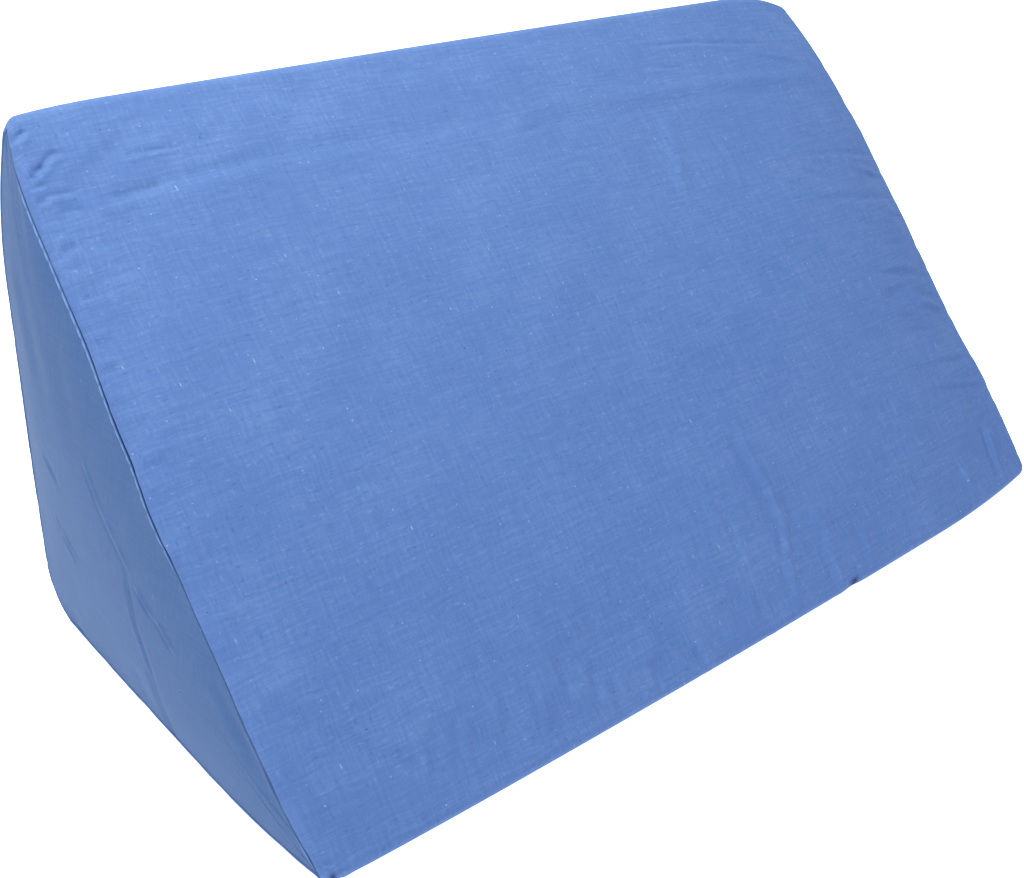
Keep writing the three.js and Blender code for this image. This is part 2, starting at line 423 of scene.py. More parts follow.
SLOPE_CREASES = (
    # A long level fold below the ridge, from a trough at the left to a crest at the right
    Crease(-221, 59, -188, 57, 2.7, 0.98, 0.4),
    Crease(-192, 57, -138, 54, 3.9, 0.88, 0.4),
    Crease(-145, 54, -82, 56, 4.6, 0.7, 0.4),
    Crease(-89, 57, -21, 58, 4.8, 0.45, 0.4),
    Crease(9, 56, 76, 62, 4.6, -0.62, 0.5),
    Crease(65, 62, 135, 63, 4.8, -0.8, 0.5),
    Crease(124, 62, 239, 72, 4.6, -0.98, 0.5),
    # Fine level wrinkles below the ridge
    Crease(-204, 41, -180, 42, 1.3, 0.67, 0.5),
    Crease(109, 35, 153, 38, 1.4, 0.56, 0.5),
    Crease(146, 38, 205, 46, 1.4, 0.56, 0.5),
    Crease(97, 46, 139, 55, 1.6, 0.38, 0.4),
    Crease(197, 91, 210, 92, 1.3, 0.56, 0.4),
    Crease(-3, 69, 14, 68, 2, 0.56, 0.4),
    Crease(21, 84, 41, 85, 2, 0.45, 0.4),
    Crease(188, 50, 226, 60, 2, -0.56, 0.4),
    # The bent fold by the upper left corner, and the fold above it
    Crease(-247, 43, -237, 37, 1.7, 1.09, 0.6, 0.5),
    Crease(-238, 37, -229, 34, 1.8, 0.98, 0.6, -1.2),
    Crease(-246, 39, -237, 38, 1.4, 0.46, 0.6),
    Crease(-250, 24, -241, 21, 1.9, 1.26, 0.5),
    Crease(-232, 34, -221, 35, 1.5, 0.29, 0.6),
    # Short level puckers that leave the left seam
    Crease(-247, 46, -240, 46, 1.4, 0.65, 0.6),
    Crease(-247, 53, -241, 53, 1.4, 0.75, 0.7),
    Crease(-243, 51, -229, 52, 1.4, 0.65, 0.6),
    Crease(-239, 59, -228, 60, 1.4, 0.56, 0.6),
    Crease(-245, 62, -223, 63, 2.2, 0.38, 0.6),
    Crease(-246, 68, -239, 67, 1.6, 0.43, 0.6),
    Crease(-246, 76, -236, 74, 1.7, 0.65, 0.6),
    Crease(-247, 83, -235, 83, 2, 0.33, 0.6),
    Crease(-247, 96, -236, 96, 2.2, 0.33, 0.5),
    Crease(-249, 113, -240, 113, 1.5, -0.47, 0.5),
    Crease(-249, 124, -241, 124, 1.5, -0.47, 0.5),
    Crease(-251, 134, -240, 135, 2.4, 0.28, 0.5),
    Crease(-249, 147, -236, 147, 2.4, -0.33, 0.5),
    Crease(-248, 164, -238, 164, 2.4, -0.47, 0.5),
    Crease(-238, 160, -219, 162, 1.4, 0.38, 0.5),
    Crease(-244, 182, -232, 183, 2.4, 0.33, 0.5),
    Crease(-243, 208, -231, 208, 2.2, 0.33, 0.5),
    Crease(-243, 233, -228, 233, 2.4, -0.28, 0.5),
    Crease(-243, 261, -230, 261, 2.4, 0.28, 0.5),
    # Level puckers that leave the right seam
    Crease(180, 118, 221, 123, 2, 0.59, 0.4),
    Crease(213, 122, 246, 128, 2, 0.9, 0.5),
    Crease(214, 131, 246, 141, 1.9, -0.9, 0.6),
    Crease(174, 123, 192, 132, 2.2, -0.9, 0.5),
    Crease(174, 142, 208, 146, 2.2, -0.83, 0.6),
    Crease(198, 151, 243, 156, 2.5, 0.9, 0.6),
    Crease(225, 162, 246, 167, 2, -0.95, 0.4),
    Crease(192, 163, 227, 173, 2.6, 0.48, 0.4),
    Crease(205, 182, 233, 185, 2, 0.71, 0.5),
    Crease(202, 194, 233, 200, 2, -0.83, 0.5),
    Crease(187, 195, 244, 209, 2, 0.83, 0.4),
    Crease(189, 205, 212, 207, 2, -0.95, 0.5),
    Crease(187, 210, 204, 214, 2, 0.9, 0.4),
    Crease(217, 214, 242, 222, 2.6, 0.9, 0.6),
    Crease(215, 220, 245, 230, 1.9, -0.9, 0.3),
    Crease(190, 221, 210, 223, 2, -0.59, 0.4),
    Crease(194, 233, 218, 237, 2.4, 0.71, 0.4),
    Crease(174, 250, 246, 258, 2, -0.83, 0.5),
    Crease(196, 267, 245, 277, 1.7, -0.95, 0.5),
    Crease(212, 283, 246, 290, 2.2, 0.48, 0.4),
    # Sharp folds that stand by the right front corner
    Crease(224, 300, 221, 319, 1.8, -2.52, 0.35),
    Crease(222, 314, 220, 335, 1.8, -1.97, 0.35),
    Crease(188, 313, 189, 331, 1.8, -1.97, 0.28),
    Crease(129, 300, 143, 317, 2.5, -1.12, 0.21),
    # Long folds that run down to the front edge, with a sharp crest
    Crease(32, 245, 34, 268, 2.4, 1.07, 0.18),
    Crease(39, 245, 42, 276, 2.4, -1.5, 0.18),
    Crease(34, 263, 36, 294, 2.4, 1.07, 0.12),
    Crease(43, 270, 41, 300, 2, -2.04, 0.3),
    Crease(42, 294, 34, 314, 2, -1.89, 0.3),
    Crease(35, 309, 31, 334, 2.7, -1.5, 0.24),
    Crease(51, 277, 50, 298, 2.4, 1.28, 0.12),
    Crease(6, 266, 9, 293, 2, 0.96, 0.36),
    Crease(11, 286, 10, 308, 2, -1.07, 0.24),
    Crease(9, 305, 11, 339, 2, -1.07, 0.3),
    Crease(67, 290, 67, 317, 3.4, -0.96, 0.18),
    Crease(66, 311, 64, 338, 3, -1.93, 0.3),
    Crease(50, 303, 53, 316, 2, 0.85, 0.24),
    Crease(-63, 298, -52, 322, 2, 0.96, 0.3),
    Crease(-54, 318, -39, 334, 2.4, 0.85, 0.24),
    Crease(99, 68, 78, 130, 5, -0.96, 0.18),
    Crease(125, 98, 123, 128, 2, -0.85, 0.24),
    Crease(-96, 205, -93, 227, 2, 0.65, 0.24),
    # Short soft gathers along the front edge
    Crease(-102, 287, -97, 311, 2.8, -1.47, 0.5),
    Crease(-112, 316, -108, 332, 2.7, -1.64, 0.5),
    Crease(-97, 317, -96, 334, 2.7, -1.64, 0.5),
    Crease(-88, 320, -86, 337, 2.7, -1.64, 0.4),
    Crease(-114, 299, -114, 318, 2.4, 1.32, 0.4),
    Crease(-99, 310, -98, 326, 2.4, 1.47, 0.4),
    Crease(-128, 309, -130, 327, 2.1, -1.32, 0.5),
    Crease(-38, 323, -35, 338, 2.4, -1.64, 0.5),
    Crease(-147, 306, -149, 323, 2.4, 0.98, 0.4),
    Crease(-166, 305, -171, 323, 2.7, -0.98, 0.4),
    Crease(-182, 303, -187, 324, 3, 1.15, 0.4),
    Crease(-66, 322, -66, 335, 2.4, 1.15, 0.4),
    Crease(6, 316, 5, 331, 2.1, 1.15, 0.4),
    Crease(94, 312, 92, 333, 3, -1.32, 0.4),
    Crease(129, 318, 127, 334, 2.8, 1.15, 0.4),
    # Soft shading and a nick above the front left corner
    Crease(-238, 308, -233, 338, 4.5, 1, 0.4),
    Crease(-243, 332, -240, 347, 1.2, 0.6, 0.2),
    Crease(-196, 306, -190, 336, 7, 0.5, 0.3),
    # Faint long pulls across the middle
    Crease(-232, 140, -150, 130, 6, 0.25, 0.3),
    Crease(-120, 96, 20, 78, 8, 0.3, 0.3),
    Crease(-40, 190, 110, 176, 9, 0.3, 0.3),
)

LEFT_CREASES = (
    # y and z of both ends, with y from the front corner
    Crease(161, 117, 148, 101, 1.4, -0.56, 0.7),
    Crease(150, 103, 128, 82, 1.6, -0.48, 0.6),
    Crease(196, 66, 179, 58, 1.4, -0.64, 0.8),
    Crease(203, 71, 196, 62, 1.4, -0.4, 0.5),
    Crease(131, 82, 126, 50, 1.7, 0.45, 0.4, 0.8),
    Crease(127, 56, 118, 34, 1.8, 0.5, 0.4),
    Crease(120, 38, 112, 4, 1.9, 0.9, -0.5, 0.8),
    Crease(124, 77, 112, 69, 1.4, -0.64, 0.6),
    Crease(110, 70, 97, 60, 1.4, -0.56, 0.6),
    Crease(206, 100, 190, 92, 2.2, 0.48, 0.4),
    Crease(46, 46, 35, 30, 1.6, -0.3, 0.2),
    Crease(35, 36, 26, 24, 1.5, -0.4, 0.2),
    Crease(22, 20, 15, 16, 1.0, 2.4, 0.5),
    Crease(14, 22, 7, 15, 0.9, 2.88, 0.4),
    Crease(60, 56, 30, 28, 2.4, -0.45, 0.2),
    Crease(44, 38, 20, 18, 2.4, -0.45, 0.2),
    Crease(74, 62, 46, 36, 3.0, 0.56, 0.4),
    Crease(138, 28, 132, 10, 7.0, 0.6),
    Crease(208, 18, 200, 2, 7.0, 0.4),
    Crease(216, 190, 196, 132, 6.0, 0.5, 0.4),
    Crease(184, 170, 168, 120, 7.0, 0.4, 0.4),
)

RIGHT_CREASES = (
    # Not in the photograph: plain guesses of the same kind
    Crease(170, 120, 150, 84, 2.0, -0.4, 0.5),
    Crease(120, 60, 112, 20, 2.2, 0.6, 0.4),
    Crease(60, 46, 40, 28, 2.0, 0.4, 0.4),
    Crease(210, 60, 198, 20, 3.0, 0.4, 0.3),
    Crease(206, 196, 192, 150, 4.0, 0.4, 0.3),
)


@dataclass(frozen=True)
class SeamPuckers:
    """Small uneven gathers that the seam's stitching draws into the cloth beside it."""

    spacing: float
    length: float
    depth: float
    seed: int

    def relief(self, along: np.ndarray, away: np.ndarray, run: float) -> np.ndarray:
        """Offset along the normal beside a seam.

        Args:
            along: place along the seam, of shape spots.
            away: distance from the seam, of shape rings, spots or rings, 1.
            run: the seam's whole length.

        Returns:
            Offsets of shape rings, spots: for each gather, a bell along the seam less a wider and
            lower one, that fades with the distance from the seam.
        """
        rng = np.random.default_rng(self.seed)
        count = int(run / self.spacing)
        place = (np.arange(count) + rng.uniform(0.15, 0.85, count)) * run / count
        breadth = rng.uniform(0.16, 0.3, count) * self.spacing
        depth = self.depth * rng.uniform(0.1, 1.0, count) ** 1.5
        length = self.length * rng.uniform(0.4, 1.3, count)
        total = np.zeros(np.broadcast(away, along).shape)
        for at, wide, deep, long in zip(place, breadth, depth, length):
            gap = (along - at + run / 2) % run - run / 2
            across = deep * (bell(gap, wide) - 0.5 * bell(gap, 2 * wide))
            total -= across * np.clip(1 - away / long, 0, None) ** 1.5
        return total


@dataclass(frozen=True)
class Undulation:
    """Broad soft waves where the cover lies a little slack on its foam."""

    length: float
    depth: float
    count: int
    seed: int

    def relief(self, a: np.ndarray, b: np.ndarray) -> np.ndarray:
        """Sum of plane waves with random directions, lengths near the given one and random phases."""
        rng = np.random.default_rng(self.seed)
        turn = rng.uniform(0, np.pi, self.count)
        wave = 2 * np.pi / (self.length * rng.uniform(0.7, 1.5, self.count))
        phase = rng.uniform(0, 2 * np.pi, self.count)
        total = np.zeros(np.broadcast(a, b).shape)
        for t, w, p in zip(turn, wave, phase):
            total += np.sin(w * (a * np.cos(t) + b * np.sin(t)) + p)
        return self.depth * total / math.sqrt(self.count)


# SETTLING


@dataclass(frozen=True)
class ClothSettling:
    """Blender's cloth simulation of the wrap cloth, cut a little large for its foam.

    It runs on a coarse tube of the same form. The seams, the rounded corners and the base are held
    fast, and the foam holds the faces softly. Only the finer wrinkles are kept, because the form has
    the crown already.
    """

    form: WedgeForm
    fineness: Fineness = Fineness(slope=54, back=36, base=22, arcs=(4, 4, 6), evenness=0.8)
    width_steps: int = 82
    frames: int = 20
    pressure: float = 4.0
    foam_hold: float = 0.1
    # The cloth grows by this share of its size, which leaves it slack between its seams
    slack: float = 0.02
    cap: float = 5.0
    broad: float = 5.0
    share: float = 0.35
    # How much of the rolled edge's drop the coarse tube takes at its seams
    roll_share: float = 0.56

    def tube(self) -> tuple[Section, np.ndarray, np.ndarray]:
        """Return the coarse spots, the rings' places along x and their points."""
        spots = self.form.section(self.fineness)
        x = self.form.half * (2 * np.arange(self.width_steps + 1) / self.width_steps - 1)
        from_end = np.clip((self.form.half - np.abs(x)) / self.form.edge_roll, 0, 1)
        inset = self.form.edge_roll * (1 - np.sqrt(1 - (1 - from_end) ** 2)) * self.roll_share
        grid = np.repeat(x[:, None], len(spots.point), 1)
        inset = np.repeat(inset[:, None], len(spots.point), 1)
        return spots, x, self.form.wrap(spots, grid, inset, np.zeros(grid.shape))

    def simulate(self) -> tuple[np.ndarray, np.ndarray, np.ndarray]:
        """Run the simulation.

        Returns:
            Places along x, places round the section, and the cloth's move along its normals in
            millimetres on that grid. The move is capped, and a broad average of it is taken away.
        """
        spots, x, points = self.tube()
        rings, count = points.shape[:2]
        index = np.arange(rings * count).reshape(rings, count)
        after = np.roll(index, -1, 1)
        quads = np.stack([index[:-1], index[1:], after[1:], after[:-1]], -1).reshape(-1, 4)
        mesh = bpy.data.meshes.new("settling_tube")
        mesh.from_pydata((points * MM).reshape(-1, 3).tolist(), [], quads.tolist())
        tube = bpy.data.objects.new("settling_tube", mesh)
        bpy.context.scene.collection.objects.link(tube)
        held = (np.abs(x)[:, None] >= self.form.half - 1) | (spots.crown[None] == 0)
        group = tube.vertex_groups.new(name="held")
        group.add(range(rings * count), self.foam_hold, "REPLACE")
        group.add(np.flatnonzero(held.ravel()).tolist(), 1.0, "REPLACE")
        cloth = tube.modifiers.new("settling", "CLOTH")
        settings = cloth.settings
        settings.quality = 6
        settings.mass = 0.3
        settings.tension_stiffness = 60
        settings.compression_stiffness = 20
        settings.bending_stiffness = 0.4
        settings.shrink_min = -self.slack
        settings.vertex_group_mass = "held"
        settings.use_pressure = True
        settings.uniform_pressure_force = self.pressure
        settings.effector_weights.gravity = 0
        cloth.point_cache.frame_start = 1
        cloth.point_cache.frame_end = self.frames
        scene = bpy.context.scene
        for frame_number in range(1, self.frames + 1):
            scene.frame_set(frame_number)
        settled = tube.evaluated_get(bpy.context.evaluated_depsgraph_get()).data
        moved = np.empty(rings * count * 3, np.float32)
        settled.vertices.foreach_get("co", moved)
        scene.frame_set(1)
        shift = moved.reshape(rings, count, 3) / MM - points
        bpy.data.objects.remove(tube)
        bpy.data.meshes.remove(mesh)
        along_normal = (shift[..., 1:] * spots.normal).sum(-1)
        capped = self.cap * np.tanh(along_normal / self.cap)
        log.info("cloth settling: moves %.2f to %.2f mm", along_normal.min(), along_normal.max())
        return x, spots.along, capped - self.average(capped)

    def average(self, moves: np.ndarray) -> np.ndarray:
        """Average a grid over its neighbours with a bell, round the section and along x."""
        steps = np.arange(-3 * int(self.broad), 3 * int(self.broad) + 1)
        weights = np.exp(-((steps / self.broad) ** 2))
        weights /= weights.sum()
        rounded = sum(w * np.roll(moves, k, 1) for k, w in zip(steps, weights))
        edge = len(steps) // 2
        padded = np.pad(rounded, ((edge, edge), (0, 0)), mode="edge")
        return sum(w * padded[edge + k : edge + k + len(moves)] for k, w in zip(steps, weights))

    def relief(self, along: np.ndarray, x: np.ndarray, run: float) -> np.ndarray:
        """Offset along the normal of a fine grid, read from the coarse one.

        Args:
            along: place round the section of each fine spot.
            x: place along the width of each fine ring.
            run: the section's whole length.

        Returns:
            Offsets of shape rings, spots, by a smooth cubic in each direction.
        """
        coarse_x, coarse_along, moves = self.simulate()
        by_x = self.smooth_sample(coarse_x, moves, x)
        wrapped = np.concatenate([coarse_along, [run]])
        closed = np.concatenate([by_x, by_x[:, :1]], 1)
        return self.share * self.smooth_sample(wrapped, closed.T, along).T

    @staticmethod
    def smooth_sample(places: np.ndarray, values: np.ndarray, wanted: np.ndarray) -> np.ndarray:
        """Sample rows of values by a Catmull-Rom cubic between the four nearest places."""
        spot = np.clip(np.searchsorted(places, wanted) - 1, 0, len(places) - 2)
        t = np.clip((wanted - places[spot]) / (places[spot + 1] - places[spot]), 0, 1)[:, None]
        last = len(places) - 1
        p0, p1, p2, p3 = (values[np.clip(spot + k, 0, last)] for k in (-1, 0, 1, 2))
        return 0.5 * (2 * p1 + (p2 - p0) * t + (2 * p0 - 5 * p1 + 4 * p2 - p3) * t**2
                      + (3 * p1 - p0 - 3 * p2 + p3) * t**3)


# MESHES


def mesh_object(name: str, points: np.ndarray, faces: list[np.ndarray], cloth: list[np.ndarray],
                seam: np.ndarray) -> bpy.types.Object:
    """Make a smooth mesh object from whole arrays.

    Args:
        name: the object's name.
        points: points in millimetres, of shape count, 3.
        faces: groups of faces, each of shape count, corners.
        cloth: the cloth's own measures in millimetres of each group's corners.
        seam: painted shade of each point from 0 to 1, or below 0 how strong its painted highlight is.

    Returns:
        The object, in metres, at the origin, with a UV map named cloth in metres and a float
        attribute named seam.
    """
    sizes = np.concatenate([np.full(len(f), f.shape[1]) for f in faces])
    corners = np.concatenate([f.ravel() for f in faces])
    mesh = bpy.data.meshes.new(name)
    mesh.vertices.add(len(points))
    mesh.vertices.foreach_set("co", (points * MM).astype(np.float32).ravel())
    mesh.loops.add(len(corners))
    mesh.loops.foreach_set("vertex_index", corners.astype(np.int32))
    mesh.polygons.add(len(sizes))
    mesh.polygons.foreach_set("loop_start", np.concatenate([[0], np.cumsum(sizes)[:-1]]).astype(np.int32))
    mesh.polygons.foreach_set("use_smooth", np.ones(len(sizes), bool))
    mesh.update(calc_edges=True)
    layer = mesh.uv_layers.new(name="cloth")
    flat = np.concatenate([c.reshape(-1, 2) for c in cloth]) * MM
    layer.uv.foreach_set("vector", flat.astype(np.float32).ravel())
    mesh.attributes.new("seam", "FLOAT", "POINT").data.foreach_set("value", seam.astype(np.float32))
    mesh.validate()
    made = bpy.data.objects.new(name, mesh)
    bpy.context.scene.collection.objects.link(made)
    return made


def loft(name: str, rings: np.ndarray, u: np.ndarray, v: np.ndarray, run: float, first: np.ndarray,
         last: np.ndarray, seam: np.ndarray) -> bpy.types.Object:
    """Close a surface through rings of equal count, with a single point at each end.

    Args:
        name: the object's name.
        rings: points of shape rings, spots, 3, from left to right.
        u: the cloth's measure across the rings, of shape rings, spots.
        v: the cloth's measure round each ring, of shape rings, spots.
        run: what v grows by from the last spot back to the first.
        first: the point that closes the first ring.
        last: the point that closes the last ring.
        seam: painted shade of each point, of shape rings, spots, or below 0 its painted highlight.

    Returns:
        The object, whose faces point outward.
    """
    count_rings, spots = rings.shape[:2]
    points = np.concatenate([rings.reshape(-1, 3), first[None], last[None]])
    index = np.arange(count_rings * spots).reshape(count_rings, spots)
    after = np.roll(index, -1, 1)
    quads = np.stack([index[:-1], index[1:], after[1:], after[:-1]], -1).reshape(-1, 4)
    wrap = np.zeros(spots)
    wrap[-1] = run
    uv = np.stack([u, v], -1)
    uv_after = np.roll(uv, -1, 1) + np.stack([np.zeros(spots), wrap], -1)
    quad_uv = np.stack([uv[:-1], uv[1:], uv_after[1:], uv_after[:-1]], -2).reshape(-1, 8)
    first_at, last_at = count_rings * spots, count_rings * spots + 1
    head = np.stack([np.full(spots, first_at), index[0], after[0]], -1)
    tail = np.stack([np.full(spots, last_at), after[-1], index[-1]], -1)
    middle = [uv[ring].mean(0) for ring in (0, -1)]
    head_uv = np.stack([np.repeat(middle[0][None], spots, 0), uv[0], uv_after[0]], 1)
    tail_uv = np.stack([np.repeat(middle[1][None], spots, 0), uv_after[-1], uv[-1]], 1)
    triangles = np.concatenate([head, tail])
    triangle_uv = np.concatenate([head_uv, tail_uv]).reshape(-1, 6)
    shades = np.concatenate([seam.ravel(), [0.0, 0.0]])
    cloth = [quad_uv.reshape(-1, 2), triangle_uv.reshape(-1, 2)]
    return mesh_object(name, points, [quads, triangles], cloth, shades)


# FINISHES


def add_node(tree: bpy.types.NodeTree, kind: str, inputs: dict | None = None, **settings) -> bpy.types.Node:
    """Add one node with its settings and links.

    Args:
        tree: the node tree.
        kind: the node's type name.
        inputs: a value, or a socket to link from, for each input by name or number.
        settings: the node's own properties.

    Returns:
        The node.
    """
    node = tree.nodes.new(kind)
    for name, value in settings.items():
        setattr(node, name, value)
    for key, value in (inputs or {}).items():
        if isinstance(value, bpy.types.NodeSocket):
            tree.links.new(value, node.inputs[key])
        else:
            node.inputs[key].default_value = value
    return node


@dataclass(frozen=True)
class WovenCotton:
    """Plain-woven, piece-dyed cotton with uneven carded yarn, matt and slightly hairy.

    Uneven yarns show as short, faint paler and darker streaks along warp and weft, and slubs as
    longer soft bars across the cloth. Loose fibre ends are short pale or dark ticks. Neps are small
    pale dots of undyed fibre, and a few husks of seed leave dark specks.
    """

    name: str
    dye: str
    pale: str
    deep: str
    streak: float
    slub: float
    tick: float
    nep: float
    weave_height: float
    roughness: float = 0.9
    sheen: float = 0.05
    gloss: float = 0.12
    # Yarns lie 0.5 mm apart in the cloth, and are drawn 1 mm apart to show in the render
    yarn_pitch: float = 1.0
    streak_length: float = 7.0
    slub_breadth: float = 1.5
    slub_length: float = 30.0
    grain: float = 0.9
    warp_size: float = 14.0
    warp_reach: float = 2.5
    tick_spacing: float = 4.0
    tick_radius: float = 0.75
    nep_spacing: float = 15.0
    nep_radius: float = 0.5
    husk_spacing: float = 38.0
    husk_radius: float = 0.5
    patch: float = 45.0
    patch_amount: float = 0.04
    # A noise counts in full this far from its middle
    noise_reach: float = 0.2
    undyed: str = "9ea8bd"
    husk: str = "151f3c"
    # Painted shade in a seam's groove, and a painted highlight on the crest of an end panel's lip
    seam_painted_shade_colour: str = "12244f"
    lip_highlight_colour: str = "6f8cba"

    def noise(self, tree: bpy.types.NodeTree, place: bpy.types.NodeSocket, across: float, down: float,
              detail: float = 1.0) -> bpy.types.NodeSocket:
        """Noise drawn out along one run of yarns, about 0.5 on average.

        Args:
            tree: the node tree.
            place: the cloth's own measures in metres.
            across: size of a fleck across the cloth in millimetres.
            down: size of a fleck down the cloth in millimetres.
            detail: octaves of finer noise.

        Returns:
            The noise's socket.
        """
        scale, shift = (1 / (across * MM), 1 / (down * MM), 1), (across * 3.1, down * 7.7, 0)
        moved = add_node(tree, "ShaderNodeMapping", {"Vector": place, "Scale": scale, "Location": shift})
        return add_node(tree, "ShaderNodeTexNoise", {
            "Vector": moved.outputs[0], "Scale": 1.0, "Detail": detail, "Roughness": 0.65,
        }, noise_dimensions="2D").outputs[0]

    def dots(self, tree: bpy.types.NodeTree, place: bpy.types.NodeSocket, spacing: float, radius: float,
             share: float, stretch: tuple[float, float] = (1.0, 1.0)) -> bpy.types.NodeSocket:
        """Scattered dots of random strength.

        Args:
            tree: the node tree.
            place: the cloth's own measures in metres.
            spacing: distance between Voronoi points in millimetres.
            radius: radius of a dot in millimetres.
            share: share of the points that carry a dot.
            stretch: how much longer a dot is across and down the cloth.

        Returns:
            A socket that is 0 off the dots. On a dot it is one minus the distance over the radius,
            times the point's own random strength.
        """
        scale = (1 / (spacing * stretch[0] * MM), 1 / (spacing * stretch[1] * MM), 1)
        shift = (spacing * 1.3, radius * 9.1, 0)
        moved = add_node(tree, "ShaderNodeMapping", {"Vector": place, "Scale": scale, "Location": shift})
        at = add_node(tree, "ShaderNodeTexVoronoi", {"Vector": moved.outputs[0], "Scale": 1.0},
                      voronoi_dimensions="2D")
        parts = add_node(tree, "ShaderNodeSeparateColor", {0: at.outputs["Color"]})
        dot = add_node(tree, "ShaderNodeMapRange", {
            0: at.outputs["Distance"], 1: 0.0, 2: radius / spacing, 3: 1.0, 4: 0.0,
        }, interpolation_type="SMOOTHSTEP").outputs[0]
        strength = add_node(tree, "ShaderNodeMapRange", {
            0: parts.outputs[0], 1: 1 - share, 2: 1.0, 3: 0.0, 4: 1.0,
        }).outputs[0]
        return self.combine(tree, "MULTIPLY", dot, strength)

    @staticmethod
    def combine(tree: bpy.types.NodeTree, operation: str, first: bpy.types.NodeSocket,
                second: bpy.types.NodeSocket | float) -> bpy.types.NodeSocket:
        """Return the socket of one sum, difference or product."""
        return add_node(tree, "ShaderNodeMath", {0: first, 1: second}, operation=operation).outputs[0]

    def tone(self, tree: bpy.types.NodeTree, place: bpy.types.NodeSocket) -> bpy.types.NodeSocket:
        """Sum the streaks, slubs and patches about 0.5."""
        yarn, long, bar = self.yarn_pitch, self.streak_length, self.slub_length
        layers = (
            (self.noise(tree, place, yarn, 0.8 * long, 2.0), 0.8 * self.streak),
            (self.noise(tree, place, long, yarn, 2.0), self.streak),
            (self.noise(tree, place, 1.4 * self.grain, self.grain, 2.0), self.streak),
            (self.noise(tree, place, bar, self.slub_breadth, 2.0), self.slub),
            (self.noise(tree, place, self.slub_breadth, 0.7 * bar, 2.0), 0.9 * self.slub),
            (self.noise(tree, place, self.patch, self.patch, 2.0), self.patch_amount),
        )
        total = add_node(tree, "ShaderNodeValue").outputs[0]
        total.default_value = 0.5
        low, high = 0.5 - self.noise_reach, 0.5 + self.noise_reach
        for value, amount in layers:
            part = add_node(tree, "ShaderNodeMapRange", {0: value, 1: low, 2: high, 3: -amount, 4: amount})
            total = self.combine(tree, "ADD", total, part.outputs[0])
        return total

    def ticked(self, tree: bpy.types.NodeTree, place: bpy.types.NodeSocket,
               total: bpy.types.NodeSocket) -> bpy.types.NodeSocket:
        """Add pale and dark fibre ends to a tone."""
        size, radius = self.tick_spacing, self.tick_radius
        ticks = (
            ("ADD", self.dots(tree, place, size, radius, 0.45, (2.6, 0.8))),
            ("ADD", self.dots(tree, place, 1.3 * size, radius, 0.4, (0.8, 2.4))),
            ("SUBTRACT", self.dots(tree, place, 1.1 * size, radius, 0.45, (2.4, 0.9))),
            ("SUBTRACT", self.dots(tree, place, 1.5 * size, radius, 0.4, (0.9, 2.2))),
        )
        for operation, dots in ticks:
            total = self.combine(tree, operation, total, self.combine(tree, "MULTIPLY", dots, self.tick))
        return total

    def material(self) -> bpy.types.Material:
        """Build the material.

        Returns:
            A material whose colour goes from deep through the dye to pale with the tone. The neps,
            husks, painted seam shade and painted lip highlight are laid over it in that order. Its
            bump is the same tone without the ticks.
        """
        made = bpy.data.materials.new(self.name)
        made.use_nodes = True
        tree = made.node_tree
        tree.nodes.clear()
        flat = add_node(tree, "ShaderNodeUVMap", uv_map="cloth").outputs[0]
        wander = add_node(tree, "ShaderNodeTexNoise", {
            "Vector": flat, "Scale": 1 / (self.warp_size * MM), "Detail": 2.0,
        }, noise_dimensions="2D").outputs["Color"]
        place = wander
        steps = (("SUBTRACT", {1: (0.5, 0.5, 0.5)}), ("SCALE", {3: self.warp_reach * MM}), ("ADD", {1: flat}))
        for operation, inputs in steps:
            moved = add_node(tree, "ShaderNodeVectorMath", {0: place, **inputs}, operation=operation)
            place = moved.outputs[0]
        tone = self.tone(tree, place)
        ramp = add_node(tree, "ShaderNodeValToRGB", {0: self.ticked(tree, place, tone)})
        ramp.color_ramp.elements[0].color = linear(self.deep)
        ramp.color_ramp.elements[1].color = linear(self.pale)
        ramp.color_ramp.elements.new(0.5).color = linear(self.dye)
        neps = self.dots(tree, place, self.nep_spacing, self.nep_radius, 0.6)
        threads = self.dots(tree, place, 1.6 * self.nep_spacing, self.nep_radius, 0.5, (0.7, 3.0))
        husks = self.dots(tree, place, self.husk_spacing, self.husk_radius, 0.5)
        undyed = self.combine(tree, "MULTIPLY", self.combine(tree, "ADD", neps, threads), self.nep)
        # The seam attribute paints shade into the seams' grooves, and below 0 a highlight onto an end panel's
        # lip
        painted_shade_amount = add_node(tree, "ShaderNodeAttribute", attribute_name="seam").outputs["Fac"]
        painted_highlight_amount = self.combine(tree, "MULTIPLY", painted_shade_amount, -1.0)
        colour = ramp.outputs[0]
        for share, over in ((undyed, self.undyed), (husks, self.husk), (painted_shade_amount, self.seam_painted_shade_colour),
                            (painted_highlight_amount, self.lip_highlight_colour)):
            mix = add_node(tree, "ShaderNodeMix", {0: share, 6: colour, 7: linear(over)}, data_type="RGBA")
            colour = mix.outputs[2]
        bump = add_node(tree, "ShaderNodeBump", {"Height": tone, "Strength": 1.0,
                                                 "Distance": self.weave_height * MM})
        shader = add_node(tree, "ShaderNodeBsdfPrincipled", {
            "Base Color": colour, "Roughness": self.roughness, "Sheen Weight": self.sheen,
            "Sheen Roughness": 0.5, "Specular IOR Level": self.gloss, "Normal": bump.outputs[0]})
        add_node(tree, "ShaderNodeOutputMaterial", {0: shader.outputs[0]})
        return made


